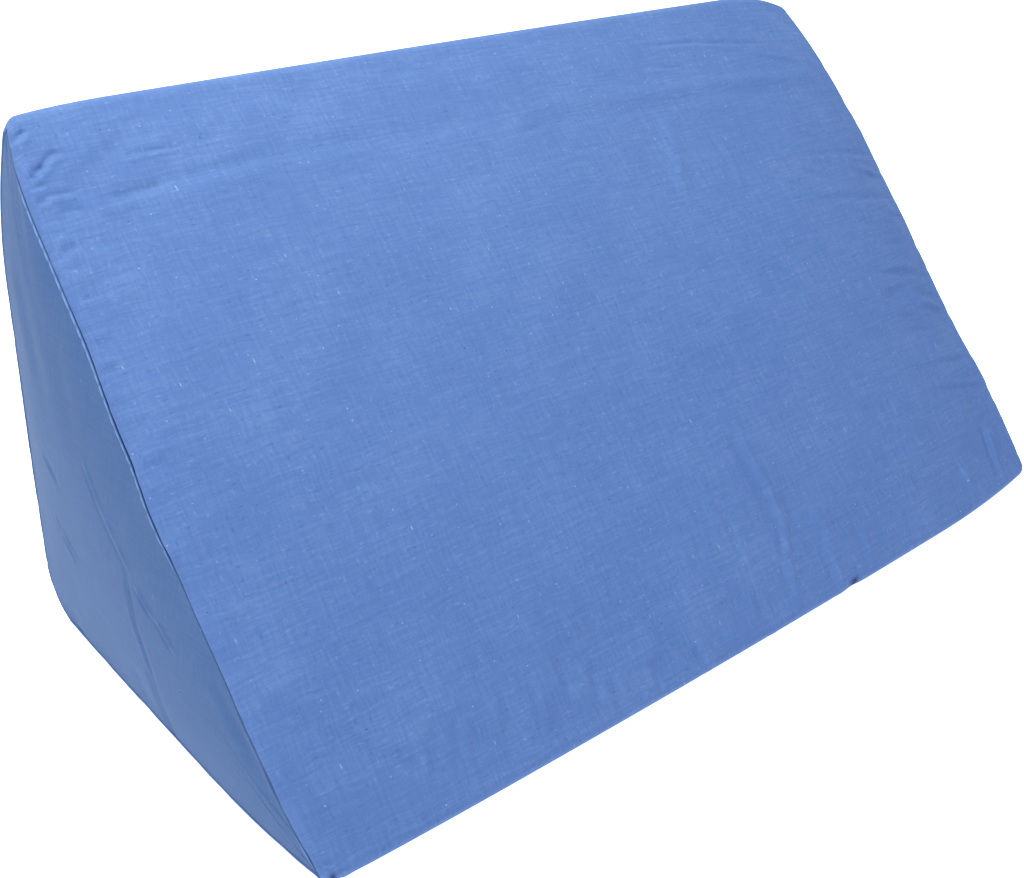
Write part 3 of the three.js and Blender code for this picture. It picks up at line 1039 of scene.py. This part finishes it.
@dataclass(frozen=True)
class MattPaper:
    """Seamless matt background paper, near white and even, lit from below like a light table."""

    tint: str = "f6f7f9"
    glow: float = 1.0

    def material(self) -> bpy.types.Material:
        """Build the material, with a faint grain so that it isn't one flat colour."""
        made = bpy.data.materials.new("matt_background_paper")
        made.use_nodes = True
        tree = made.node_tree
        tree.nodes.clear()
        place = add_node(tree, "ShaderNodeTexCoord").outputs["Object"]
        grain = add_node(tree, "ShaderNodeTexNoise", {"Vector": place, "Scale": 40.0, "Detail": 3.0})
        colour = add_node(tree, "ShaderNodeMix", {
            0: grain.outputs[0], 6: linear(self.tint), 7: linear("ffffff"),
        }, data_type="RGBA")
        shader = add_node(tree, "ShaderNodeBsdfPrincipled", {
            "Base Color": colour.outputs[2], "Roughness": 0.95, "Specular IOR Level": 0.1,
            "Emission Color": linear("ffffff"), "Emission Strength": self.glow})
        add_node(tree, "ShaderNodeOutputMaterial", {0: shader.outputs[0]})
        made.cycles.emission_sampling = "NONE"
        return made


# PIECES


@dataclass
class FilledBody:
    """The foam wedge with its wrap cloth, one filled solid with a seat for each end panel."""

    form: WedgeForm
    finish: WovenCotton
    fineness: Fineness = Fineness(slope=300, back=64, base=30, arcs=(14, 14, 14))
    width_steps: int = 380
    width_evenness: float = 0.45
    roll_steps: int = 9
    fold_radius: float = 1.0
    fold_steps: int = 6
    seat_depth: float = 2.6
    # Room behind an end panel for its own turned-in edge
    seat_room: float = 0.66
    puckers: SeamPuckers = SeamPuckers(spacing=15, length=24, depth=0.8, seed=RNG_SEED)
    waves: Undulation = Undulation(length=150, depth=0.5, count=6, seed=RNG_SEED + 1)
    # A short place where the front edge stands off the floor
    notch_x: float = 73.0
    notch_breadth: float = 6.0
    notch_height: float = 2.2
    notch_reach: float = 22.0
    # Painted shade at two short places on the front edge: place along x and half breadth, and how it fades up
    # the slope
    front_painted_shades: tuple[tuple[float, float], ...] = ((73.0, 3.2), (-241.5, 1.0))
    front_shade_fade: tuple[float, float] = (8.5, 11.5)
    # The cloth's own join, along the top of the heel's round
    closing_place: tuple[float, float] = (237.0, 27.0)
    closing_depth: float = 0.8
    closing_reach: float = 1.1

    def edge_profile(self, side: Side, spots: Section) -> tuple[np.ndarray, np.ndarray]:
        """Lay the rings of one end's rolled edge, from the groove of the seam out to the face.

        Args:
            side: which end.
            spots: the section's spots.

        Returns:
            Distance from the nominal end and inset below the face, of shape rings, spots. The roll
            is an arc of the edge's radius up to the seam's angle. The folded edge goes on as a small
            arc that turns the cloth back into the groove.
        """
        small, angle = self.fold_radius, self.form.seam_angle
        radius = self.form.roll(side, spots)
        fold = np.linspace(math.pi, angle, self.fold_steps + 1)[:-1, None]
        roll = np.linspace(angle, 0, self.roll_steps + 1)[:, None]
        shift = radius - small
        fold_x = radius - shift * math.sin(angle) - small * np.sin(fold)
        fold_inset = radius - shift * math.cos(angle) - small * np.cos(fold)
        return (np.concatenate([fold_x, radius * (1 - np.sin(roll))]),
                np.concatenate([fold_inset, radius * (1 - np.cos(roll))]))

    def relief(self, spots: Section, x: np.ndarray) -> np.ndarray:
        """Offset of the wrap cloth along its normals, from creases, puckers, slack and broad waves.

        The simulated slack starts 1 mm from an end and is full at 18 mm, and it ends where a face
        loses its crown.
        """
        away = self.form.half - np.abs(x).mean(1, keepdims=True)
        total = np.zeros(x.shape)
        for side in Side:
            here = np.sign(x) == side.value
            total += self.puckers.relief(spots.along + 31 * side.value, away, spots.round_length) * here
        slope = spots.on_slope
        for crease in SLOPE_CREASES:
            total[:, slope] += crease.relief(x[:, slope], spots.down[None, slope])
        slack = ClothSettling(self.form).relief(spots.along, x.mean(1), spots.round_length)
        total += slack * smooth_step(away, 1, 18) * smooth_step(spots.crown, 0, 1.5)
        flatness = spots.crown / self.form.slope_crown
        total += self.waves.relief(x, spots.along[None]) * np.minimum(1, flatness * 3)
        heel_gap = np.hypot(*(spots.point - self.closing_place).T)
        return total - self.closing_depth * bell(heel_gap, self.closing_reach)

    def from_front(self, spots: Section) -> np.ndarray:
        """Distance of each spot from the sharp front corner."""
        front = np.array([self.form.corners[0].y, self.form.corners[0].z])
        return np.hypot(*(spots.point - front).T)

    def lift_notch(self, spots: Section, wrap: np.ndarray) -> None:
        """Lift the front edge over a short length, by a bell along x times a fade up the slope."""
        near = fade(self.from_front(spots), self.notch_reach)
        wrap[..., 2] += self.notch_height * bell(wrap[..., 0] - self.notch_x, self.notch_breadth) * near

    def build(self) -> bpy.types.Object:
        """Build the body.

        Returns:
            The closed body: left seat, folded and rolled edge, wrap cloth, and the same on the right.
        """
        form = self.form
        spots = form.section(self.fineness)
        left_x, left_inset = self.edge_profile(Side.LEFT, spots)
        right_x, right_inset = self.edge_profile(Side.RIGHT, spots)
        t = eased(self.width_steps, self.width_evenness)[1:-1, None]
        first, last = left_x[-1] - form.half, form.half - right_x[-1]
        inner = first + (last - first) * t
        x = np.concatenate([left_x - form.half, inner, (form.half - right_x)[::-1]])
        inset = np.concatenate([left_inset, np.zeros(inner.shape), right_inset[::-1]])
        wrap = form.wrap(spots, x, inset, self.relief(spots, x))
        self.lift_notch(spots, wrap)
        seats = [self.seat(side, wrap[0 if side is Side.LEFT else -1]) for side in Side]
        rings = np.concatenate([seats[0][::-1], wrap, seats[1]])
        u = rings[..., 0]
        v = np.repeat(spots.along[None], len(rings), 0)
        centres = [rings[k].mean(0) for k in (0, -1)]
        body = loft("cushion_wrap", rings, u, v, spots.round_length, *centres, self.painted_shading(spots, u, seats))
        body.data.materials.append(self.finish.material())
        return body

    def painted_shading(self, spots: Section, u: np.ndarray, seats: list[np.ndarray]) -> np.ndarray:
        """Painted shade of each point: in the folded edges by the seams, and at the front edge's marks.

        Args:
            spots: the section's spots.
            u: place along x, of shape rings, spots.
            seats: the rings of both seats, which come before and after the wrap cloth's.

        Returns:
            The painted shade, of the shape of u, from 0 to 1.
        """
        painted_shading = np.zeros(u.shape)
        # Painted shade in the folded edges by the seams
        turned = smooth_step(np.arange(self.fold_steps)[::-1, None] / self.fold_steps, -0.1, 0.5)
        first, last = len(seats[0]), len(u) - len(seats[1]) - self.fold_steps
        painted_shading[first : first + self.fold_steps] = turned * self.form.seam_groove_painted_shade(Side.LEFT, spots)
        painted_shading[last : last + self.fold_steps] = turned[::-1] * self.form.seam_groove_painted_shade(Side.RIGHT, spots)
        # Painted shade at the front edge's two marks, where the edge stands off the floor and at the left
        # seam's foot
        by_edge = 1 - smooth_step(self.from_front(spots), *self.front_shade_fade)
        for mark_x, breadth in self.front_painted_shades:
            painted_shading += by_edge * bell(u - mark_x, breadth)
        return painted_shading

    def seat(self, side: Side, rim: np.ndarray) -> np.ndarray:
        """Rings of the hidden seat behind an end panel, from its rim to near its middle."""
        share = np.array([0.004, 0.03, 0.2, 0.5, 0.85])
        return self.form.end(side, rim, -self.seat_depth - self.seat_room, share)


@dataclass
class EndPanel:
    """A triangular cloth panel sewn into one end, its edge folded in along the seam."""

    form: WedgeForm
    side: Side
    finish: WovenCotton
    creases: tuple[Crease, ...]
    fineness: Fineness = Fineness(slope=290, back=160, base=110, arcs=(14, 12, 24), evenness=0.8)
    rings: int = 84
    growth: float = 1.9
    thickness: float = 1.6
    # From the wrap cloth's seam down to the middle of the panel's own fold
    seam_gap: float = 1.3
    # How far the panel lies below the wrap cloth's edge, and its lip's height where the seam is open
    tuck: float = 0.06
    tuck_reach: float = 14.0
    groove_depth: float = 0.6
    groove_reach: float = 0.55
    lip_height: float = 0.45
    lip_place: float = 1.1
    lip_reach: float = 0.45
    # How strong the painted highlight on the lip's crest is
    lip_painted_highlight: float = 0.8
    wrap_fold: float = 1.0
    lift: float = -0.3
    fold_steps: int = 5
    stitch: float = 6.0
    puckers: SeamPuckers = SeamPuckers(spacing=15, length=14, depth=0.3, seed=RNG_SEED + 3)

    def build(self) -> bpy.types.Object:
        """Build the panel.

        Returns:
            The closed sheet. Its rim is half a circle as thick as the cloth, tucked in below the
            wrap cloth's edge. The outer surface rises to a lip that dips at every stitch.
        """
        form = self.form
        spots = form.section(self.fineness)
        opening = spots.on_stretches(SEAM_OPENINGS[self.side])
        half = self.thickness / 2
        seam_inset = form.roll(self.side, spots) * (1 - math.cos(form.seam_angle)) + self.seam_gap
        end_x = np.full((1, len(spots.point)), self.side.value * form.half)
        rim = form.wrap(spots, end_x, seam_inset[None], np.zeros((1, len(spots.point))))[0]
        t = np.arange(self.rings + 1) / self.rings
        share = (np.exp(self.growth * t) - 1) / (math.exp(self.growth) - 1) * 0.985
        depth_to_middle = np.einsum("sk,sk->s", spots.point - form.middle, spots.normal)
        away = share[:, None] * depth_to_middle
        outer = form.end(self.side, rim, self.lift, share)
        wander = 0.35 * np.sin(spots.along / 17) + 0.25 * np.sin(spots.along / 7.3)
        dip = (0.5 + 0.5 * np.cos(2 * np.pi * (spots.along / self.stitch + wander))) ** 6
        edge_x = (form.roll(self.side, spots) - self.wrap_fold) * (1 - math.sin(form.seam_angle))
        sink = edge_x + self.tuck + self.lift + form.end_crown_at(rim[:, 1], rim[:, 2])
        stitched = opening * (1 - 0.8 * dip)
        groove = self.groove_depth * (0.3 + 0.7 * opening) * bell(away, self.groove_reach)
        lip = stitched * bell(away - self.lip_place, self.lip_reach)
        relief = self.lip_height * lip - sink * bell(away, self.tuck_reach) - groove
        for crease in self.creases:
            relief += crease.relief(outer[..., 1], outer[..., 2])
        reach = np.hypot(*(spots.point - form.middle).T)
        gathered = self.puckers.relief(spots.along, share[:, None] * reach, spots.round_length)
        relief += gathered * smooth_step(away, 0, 3)
        outer[..., 0] += self.side.value * relief
        inner_share = np.array([0.0, 0.05, 0.3, 0.7])
        inner = form.end(self.side, rim, self.lift - self.thickness, inner_share)
        angles = np.linspace(0, math.pi, self.fold_steps + 2)[1:-1]
        fold = np.repeat(outer[:1], self.fold_steps, 0)
        fold[..., 0] -= self.side.value * half * (1 - np.cos(angles))[:, None]
        fold[..., 1:] += spots.normal * (half * np.sin(angles))[:, None, None]
        inner[0, :, 0] = outer[0, :, 0] - self.side.value * self.thickness
        rings = np.concatenate([inner[::-1], fold[::-1], outer])
        u, v = rings[..., 1], rings[..., 2]
        hidden = np.ones((len(inner) + len(fold), away.shape[1]))
        # Painted shade on the hidden rings, the fold and the groove by the seam, and a painted highlight on
        # the lip's crest
        seam = np.concatenate([hidden, 1 - smooth_step(away, 0.4, 0.8)]) * form.seam_groove_painted_shade(self.side, spots)
        seam[-len(away):] -= self.lip_painted_highlight * lip
        centres = [rings[0].mean(0), form.end(self.side, rim, self.lift, np.array([1.0]))[0, 0]]
        centres[1][0] += self.side.value * (relief[-1].mean())
        if self.side is Side.LEFT:
            rings, u, v, centres, seam = rings[::-1], u[::-1], v[::-1], centres[::-1], seam[::-1]
        panel = loft(f"end_cloth_{self.side.name.lower()}", rings, u, v, 0.0, *centres, seam)
        panel.data.materials.append(self.finish.material())
        return panel


@dataclass
class Cushion:
    """The whole cushion: filled body and two end panels, set where the frame has them."""

    form: WedgeForm = WedgeForm()

    def place(self, pieces: list[bpy.types.Object]) -> None:
        """Move the pieces' points so that the body's box is centred on the frame's own body."""
        low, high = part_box("cushion_body")
        points = np.array([v.co for v in pieces[0].data.vertices])
        middle = (points.min(0) + points.max(0)) / 2
        shift = Vector(((low.x + high.x) / 2 - middle[0], (low.y + high.y) / 2 - middle[1], 0))
        for piece in pieces:
            piece.data.transform(Matrix.Translation(shift))

    def build(self) -> None:
        """Build, dress, place and attach each piece, and hide the frame's own parts."""
        wrap_cotton = WovenCotton("plain_woven_dyed_cotton", dye="4a6391", pale="667da3", deep="344e7e",
                                  streak=0.035, slub=0.055, tick=0.24, nep=0.7, weave_height=0.2)
        # The end panels' cotton is the wrap's cloth with a smoother weave, and a darker, greyer colour set
        # for how the ends are lit: painted shade and sheen
        end_cotton_shaded_copy = WovenCotton("smooth_dyed_cotton_shaded", dye="3b547a", pale="4e6386", deep="2c456b",
                                 streak=0.03, slub=0.045, tick=0.06, nep=0.25, weave_height=0.12)
        body = FilledBody(self.form, wrap_cotton).build()
        left = EndPanel(self.form, Side.LEFT, end_cotton_shaded_copy, LEFT_CREASES).build()
        right = EndPanel(self.form, Side.RIGHT, end_cotton_shaded_copy, RIGHT_CREASES).build()
        self.place([body, left, right])
        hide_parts("cushion_body")
        for panel, node in ((left, "end_panel_left"), (right, "end_panel_right")):
            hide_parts(node)
        for piece in (body, left, right):
            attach(piece, "root")
            log.info("%s: %d faces", piece.name, len(piece.data.polygons))


# STUDIO


@dataclass(frozen=True)
class Softbox:
    """A large diffused lamp, with its place in metres, its size, its power in watts and its tint."""

    name: str
    place: tuple[float, float, float]
    size: float
    power: float
    tint: str = "ffffff"

    def build(self, aim: Vector) -> None:
        """Hang the softbox and turn it to the aim."""
        data = bpy.data.lights.new(self.name, "AREA")
        data.shape = "SQUARE"
        data.size = self.size
        data.energy = self.power
        data.color = linear(self.tint)[:3]
        lamp = bpy.data.objects.new(self.name, data)
        lamp.location = self.place
        lamp.rotation_euler = (aim - Vector(self.place)).to_track_quat("-Z", "Y").to_euler()
        bpy.context.scene.collection.objects.link(lamp)


@dataclass(frozen=True)
class Studio:
    """Glowing white floor, even bluish surroundings, softboxes and the photograph's camera.

    The photograph is cut out on white. The floor's own light keeps it white under the cushion too.
    """

    camera_place: tuple[float, float, float] = (-442.4, -422.3, 400.1)
    camera_turn: float = 41.60
    camera_dip: float = 27.73
    camera_roll: float = 2.42
    focal_pixels: float = 1360.3
    centre_pixel: tuple[float, float] = (498.2, 400.5)
    floor_size: float = 14.0
    surround: float = 0.784
    surround_tint: str = "b9d8ff"
    softboxes: tuple[Softbox, ...] = (
        Softbox("overhead_softbox", (-0.33, 0.1, 1.2), 0.5, 24.2, "fffcf0"),
        Softbox("background_softbox", (0.9, 2.3, 1.5), 1.6, 20),
    )

    def build(self) -> None:
        """Build the floor, surroundings, lamps and camera."""
        half = self.floor_size / 2
        corners = [(x * half, y * half, 0) for x, y in ((-1, -1), (1, -1), (1, 1), (-1, 1))]
        mesh = bpy.data.meshes.new("paper_floor")
        mesh.from_pydata(corners, [], [(0, 1, 2, 3)])
        floor = bpy.data.objects.new("paper_floor", mesh)
        floor.data.materials.append(MattPaper().material())
        bpy.context.scene.collection.objects.link(floor)
        world = bpy.data.worlds.new("white_surroundings")
        world.use_nodes = True
        background = world.node_tree.nodes["Background"]
        background.inputs[0].default_value = linear(self.surround_tint)
        background.inputs[1].default_value = self.surround
        bpy.context.scene.world = world
        aim = Vector((0, 0, 0.12))
        for softbox in self.softboxes:
            softbox.build(aim)
        bpy.context.scene.view_settings.view_transform = "Standard"
        self.camera()

    def camera(self) -> None:
        """Set the camera where the photograph's outline puts it.

        The turn is from +Y towards +X, the dip below the horizon and the roll about the line of
        sight. The shift moves the frame from the lens centre to the picture's middle.
        """
        data = bpy.data.cameras.new("camera")
        data.sensor_width = 36
        data.lens = self.focal_pixels * data.sensor_width / IMAGE_WIDTH
        data.shift_x = (IMAGE_WIDTH / 2 - self.centre_pixel[0]) / IMAGE_WIDTH
        data.shift_y = (self.centre_pixel[1] - IMAGE_HEIGHT / 2) / IMAGE_WIDTH
        data.clip_start = 0.01
        camera = bpy.data.objects.new("camera", data)
        turn = Euler((0, 0, -math.radians(self.camera_turn))).to_matrix()
        dip = Euler((math.radians(90 - self.camera_dip), 0, 0)).to_matrix()
        roll = Euler((0, 0, math.radians(self.camera_roll))).to_matrix()
        turned = (turn @ dip @ roll).to_4x4()
        camera.matrix_world = Matrix.Translation(Vector(self.camera_place) * MM) @ turned
        bpy.context.scene.collection.objects.link(camera)
        bpy.context.scene.camera = camera


def main() -> None:
    """Build the studio and the cushion."""
    logging.basicConfig(level=logging.INFO, format="%(name)s: %(message)s")
    Studio().build()
    Cushion().build()


if __name__ == "__main__":
    main()
